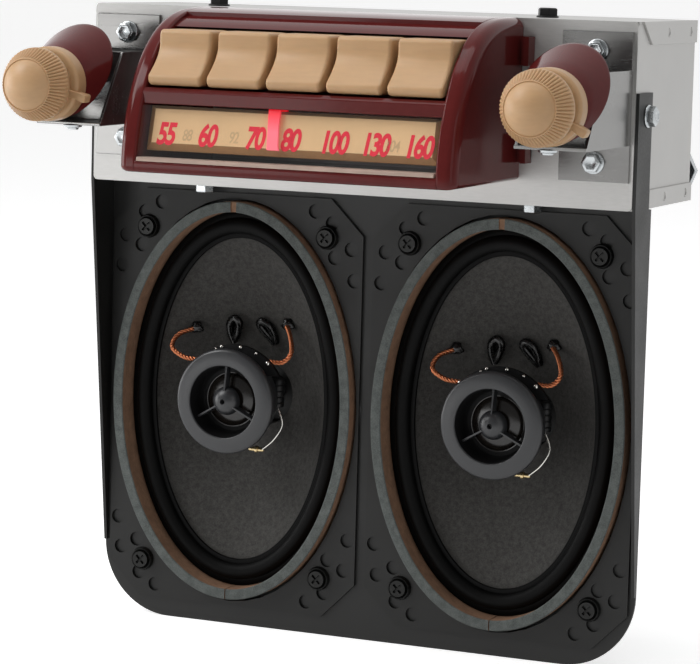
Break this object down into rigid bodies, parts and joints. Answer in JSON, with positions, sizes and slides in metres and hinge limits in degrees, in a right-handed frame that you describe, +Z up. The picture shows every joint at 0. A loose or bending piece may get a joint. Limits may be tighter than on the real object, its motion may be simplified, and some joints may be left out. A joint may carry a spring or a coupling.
{
  "type": "car radio",
  "caption": "Dashboard car radio with push-buttons, a pointer dial and concentric knobs on dash arms, above a sheet bracket that carries oval coaxial speakers.",
  "frame": {"origin": "midway between the two control shafts, where the dash panel crosses them", "axes": "+X to the driver's right, +Y towards the back of the radio, +Z up"},
  "size_m": [0.2176, 0.1509, 0.2323],
  "materials": {
    "galvanised_steel": "satin",
    "zinc_hardware": "satin",
    "maroon_plastic": "gloss",
    "tan_plastic": "satin",
    "clear_acrylic": "gloss",
    "red_acrylic": "gloss",
    "black_plastic": "satin",
    "black_steel": "satin",
    "gasket_fibre": "matte",
    "black_rubber": "matte",
    "cone_paper": "matte",
    "spider_cloth": "matte",
    "ferrite": "matte",
    "copper_braid": "satin"
  },
  "bodies": {
    "radio": {"front_panel": "galvanised_steel", "chassis_wrap": "galvanised_steel", "top_cover": "galvanised_steel", "bottom_cover": "galvanised_steel", "arm_left": "galvanised_steel", "arm_right": "galvanised_steel", "case_screws": "zinc_hardware", "rear_strap": "zinc_hardware", "antenna_socket": "zinc_hardware", "pointer_rail": "zinc_hardware", "arm_screws": "zinc_hardware", "control_left": "zinc_hardware", "control_right": "zinc_hardware", "control_nuts": "zinc_hardware", "bracket_screws": "zinc_hardware", "yoke_left": "zinc_hardware", "yoke_right": "zinc_hardware", "bezel": "maroon_plastic", "cup_left": "maroon_plastic", "cup_right": "maroon_plastic", "dial_scale": "tan_plastic", "dial_window": "clear_acrylic", "power_socket": "black_plastic", "button_guide": "black_plastic", "tweeter_left": "black_plastic", "tweeter_right": "black_plastic", "capacitor_left": "black_plastic", "capacitor_right": "black_plastic", "speaker_bracket": "black_steel", "speaker_screws": "black_steel", "cup_washers": "black_steel", "frame_left": "black_steel", "frame_right": "black_steel", "gasket_left": "gasket_fibre", "gasket_right": "gasket_fibre", "surround_left": "black_rubber", "surround_right": "black_rubber", "spider_left": "spider_cloth", "spider_right": "spider_cloth", "magnet_left": "ferrite", "magnet_right": "ferrite", "leads_left": "copper_braid", "leads_right": "copper_braid"},
    "button_1": {"button_1": "tan_plastic"},
    "button_2": {"button_2": "tan_plastic"},
    "button_3": {"button_3": "tan_plastic"},
    "button_4": {"button_4": "tan_plastic"},
    "button_5": {"button_5": "tan_plastic"},
    "volume_knob": {"knob_left": "tan_plastic", "shaft_left": "zinc_hardware"},
    "tone_ring": {"ring_left": "tan_plastic", "sleeve_left": "zinc_hardware"},
    "tuning_knob": {"knob_right": "tan_plastic", "shaft_right": "zinc_hardware"},
    "fader_ring": {"ring_right": "tan_plastic", "sleeve_right": "zinc_hardware"},
    "pointer": {"pointer": "red_acrylic"},
    "left_cone": {"cone_left": "cone_paper"},
    "right_cone": {"cone_right": "cone_paper"}
  },
  "joints": [
    {"name": "button_1_push", "type": "slide", "parent": "radio", "child": "button_1", "axis": [0, 1, 0], "range_m": [0, 0.003], "stiffness_N_per_m": 400, "springref_m": -0.001},
    {"name": "button_2_push", "type": "slide", "parent": "radio", "child": "button_2", "axis": [0, 1, 0], "range_m": [0, 0.003], "stiffness_N_per_m": 400, "springref_m": -0.001},
    {"name": "button_3_push", "type": "slide", "parent": "radio", "child": "button_3", "axis": [0, 1, 0], "range_m": [0, 0.003], "stiffness_N_per_m": 400, "springref_m": -0.001},
    {"name": "button_4_push", "type": "slide", "parent": "radio", "child": "button_4", "axis": [0, 1, 0], "range_m": [0, 0.003], "stiffness_N_per_m": 400, "springref_m": -0.001},
    {"name": "button_5_push", "type": "slide", "parent": "radio", "child": "button_5", "axis": [0, 1, 0], "range_m": [0, 0.003], "stiffness_N_per_m": 400, "springref_m": -0.001},
    {"name": "volume_turn", "type": "hinge", "parent": "radio", "child": "volume_knob", "pos_m": [-0.0924, 0, 0], "axis": [0, 1, 0], "range_deg": [-150, 150]},
    {"name": "tone_turn", "type": "hinge", "parent": "radio", "child": "tone_ring", "pos_m": [-0.0924, 0, 0], "axis": [0, 1, 0], "range_deg": [-45, 45]},
    {"name": "tuning_turn", "type": "hinge", "parent": "radio", "child": "tuning_knob", "pos_m": [0.0924, 0, 0], "axis": [0, 1, 0], "range_deg": [-631, 802]},
    {"name": "fader_turn", "type": "hinge", "parent": "radio", "child": "fader_ring", "pos_m": [0.0924, 0, 0], "axis": [0, 1, 0], "range_deg": [-45, 45]},
    {"name": "pointer_slide", "type": "slide", "parent": "radio", "child": "pointer", "axis": [1, 0, 0], "range_m": [-0.0423, 0.0537]},
    {"name": "left_cone_move", "type": "slide", "parent": "radio", "child": "left_cone", "axis": [0, 1, 0], "range_m": [-0.002, 0.002], "stiffness_N_per_m": 600, "deforming": ["surround_left", "spider_left", "leads_left"]},
    {"name": "right_cone_move", "type": "slide", "parent": "radio", "child": "right_cone", "axis": [0, 1, 0], "range_m": [-0.002, 0.002], "stiffness_N_per_m": 600, "deforming": ["surround_right", "spider_right", "leads_right"]}
  ],
  "couplings": [
    {"joint": "pointer_slide", "follows": "tuning_turn", "m_per_rad": 0.0038197}
  ]
}
